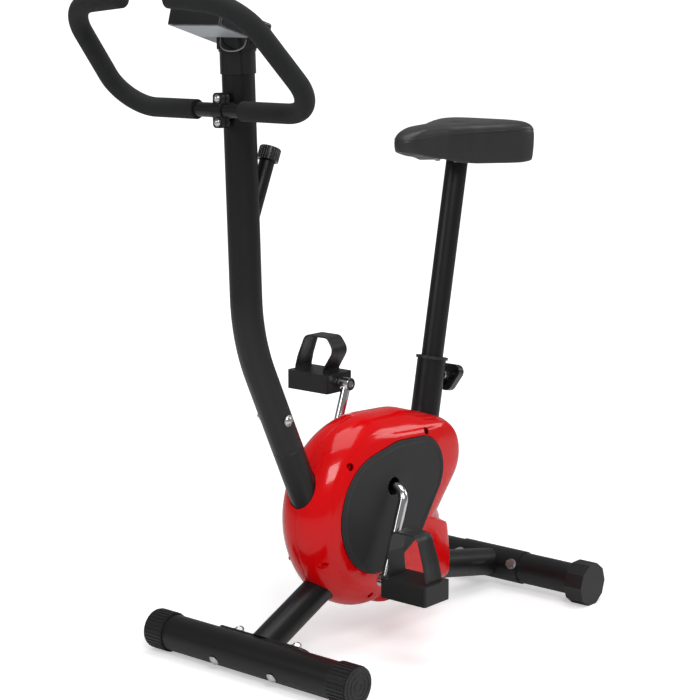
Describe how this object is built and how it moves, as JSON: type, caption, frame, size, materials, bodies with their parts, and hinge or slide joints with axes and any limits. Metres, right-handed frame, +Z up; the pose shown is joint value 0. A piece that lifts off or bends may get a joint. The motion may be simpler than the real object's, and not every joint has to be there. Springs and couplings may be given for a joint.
{
  "type": "exercise bike",
  "caption": "Upright exercise bike with a belt-driven flywheel in a moulded cover, adjustable padded seat, looped handlebar, console and cross feet.",
  "frame": {"origin": "on the floor, under the middle of the bike's length and width", "axes": "+X forward, towards the handlebar; +Y towards the rider's left; +Z up"},
  "size_m": [0.927, 0.434, 1.0774],
  "materials": {
    "frame_paint": "satin black powder coat",
    "cover_red": "gloss",
    "plate_black": "fine matte texture",
    "cap_black": "moulded satin",
    "chrome_bar": "polished",
    "zinc": "zinc plated",
    "foam": "matte foam",
    "vinyl": "soft vinyl grain",
    "pan_plastic": "moulded",
    "strap_rubber": "smooth rubber",
    "knob_black": "semi-gloss",
    "console_black": "gloss",
    "console_grey": "satin silver grey",
    "lens_clear": "clear",
    "display_grey": "grey display film",
    "button_grey": "soft rubber",
    "wire_grey": "smooth cable jacket",
    "iron": "machined rim",
    "steel": "machined",
    "pulley_plastic": "moulded",
    "belt_rubber": "ribbed belt",
    "band_felt": "felt lined band",
    "bush_plastic": "moulded",
    "post_paint": "satin black powder coat"
  },
  "bodies": {
    "base": {"bottom_tube": "frame_paint", "front_saddle": "frame_paint", "post_stub": "frame_paint", "seat_tube": "frame_paint", "crank_bracket": "frame_paint", "bearings": "steel", "flywheel_housing": "frame_paint", "front_stabiliser": "frame_paint", "foot_bolts": "zinc", "front_caps": "cap_black", "rear_sleeve": "frame_paint", "rear_feet": "frame_paint", "post": "post_paint", "post_bolt": "zinc", "tension_boss": "frame_paint", "clamp_rear": "frame_paint", "clamp_front": "frame_paint", "clamp_bolts": "zinc", "console_collar": "console_black", "console_bracket": "console_black", "console_back": "console_black", "battery_cover": "console_grey", "console_bezel": "console_black", "console_lens": "lens_clear", "console_display": "display_grey", "sensor_wire": "wire_grey", "seat_bush": "bush_plastic", "cover_left": "cover_red", "cover_right": "cover_red", "side_plate_left": "plate_black", "side_plate_right": "plate_black", "cover_screws": "zinc", "drive_belt": "belt_rubber", "brake_band": "band_felt", "brake_spring": "steel", "tension_cable": "wire_grey", "speed_sensor": "console_black"},
    "handlebar": {"handlebar": "post_paint", "grip_left": "foam", "grip_right": "foam"},
    "tension_knob": {"tension_knob": "knob_black"},
    "seat_knob": {"seat_knob": "knob_black"},
    "seat": {"seat_post": "frame_paint", "seat_bolts": "zinc", "seat_pan": "pan_plastic", "seat_pad": "vinyl"},
    "console_button": {"console_button": "button_grey"},
    "crank": {"crank": "chrome_bar", "crank_cones": "steel", "crank_pulley": "pulley_plastic", "pedal_spindles": "zinc"},
    "pedal_left": {"pedal_left": "cap_black", "strap_left": "strap_rubber"},
    "pedal_right": {"pedal_right": "cap_black", "strap_right": "strap_rubber"},
    "flywheel": {"flywheel_shaft": "steel", "flywheel": "iron", "flywheel_pulley": "steel"},
    "rear_cap_left": {"rear_cap_left": "cap_black"},
    "rear_cap_right": {"rear_cap_right": "cap_black"}
  },
  "joints": [
    {"name": "crank_spin", "type": "hinge", "parent": "base", "child": "crank", "pos_m": [-0.047, 0, 0.267], "axis": [0, 1, 0], "continuous": true},
    {"name": "pedal_left_spin", "type": "hinge", "parent": "crank", "child": "pedal_left", "pos_m": [0.006, 0.148, 0.121], "axis": [0, 1, 0], "continuous": true},
    {"name": "pedal_right_spin", "type": "hinge", "parent": "crank", "child": "pedal_right", "pos_m": [-0.1, -0.148, 0.413], "axis": [0, 1, 0], "continuous": true},
    {"name": "flywheel_spin", "type": "hinge", "parent": "base", "child": "flywheel", "pos_m": [-0.0086, 0, 0.171], "axis": [0, 1, 0], "continuous": true},
    {"name": "seat_height", "type": "slide", "parent": "base", "child": "seat", "axis": [-0.1908, 0, 0.9816], "range_m": [-0.175, 0.05]},
    {"name": "seat_knob_turn", "type": "hinge", "parent": "base", "child": "seat_knob", "pos_m": [-0.26621, 0, 0.41489], "axis": [-0.9816, 0, -0.1908], "range_deg": [0, 330]},
    {"name": "tension_knob_turn", "type": "hinge", "parent": "base", "child": "tension_knob", "pos_m": [0.1941, 0, 0.81834], "axis": [-0.3907, 0, 0.9205], "range_deg": [0, 330]},
    {"name": "handlebar_tilt", "type": "hinge", "parent": "base", "child": "handlebar", "pos_m": [0.2974, 0, 0.899], "axis": [0, 1, 0], "range_deg": [-10, 10]},
    {"name": "console_button_press", "type": "slide", "parent": "base", "child": "console_button", "axis": [-0.2689, 0, 0.9632], "range_m": [-0.001, 0], "stiffness_N_per_m": 300},
    {"name": "rear_cap_left_level", "type": "hinge", "parent": "base", "child": "rear_cap_left", "pos_m": [-0.425, 0.19, 0.039], "axis": [0, 1, 0], "range_deg": [-72, 72]},
    {"name": "rear_cap_right_level", "type": "hinge", "parent": "base", "child": "rear_cap_right", "pos_m": [-0.425, -0.19, 0.039], "axis": [0, 1, 0], "range_deg": [-72, 72]}
  ],
  "couplings": [
    {"joint": "flywheel_spin", "follows": "crank_spin", "ratio": 4}
  ]
}
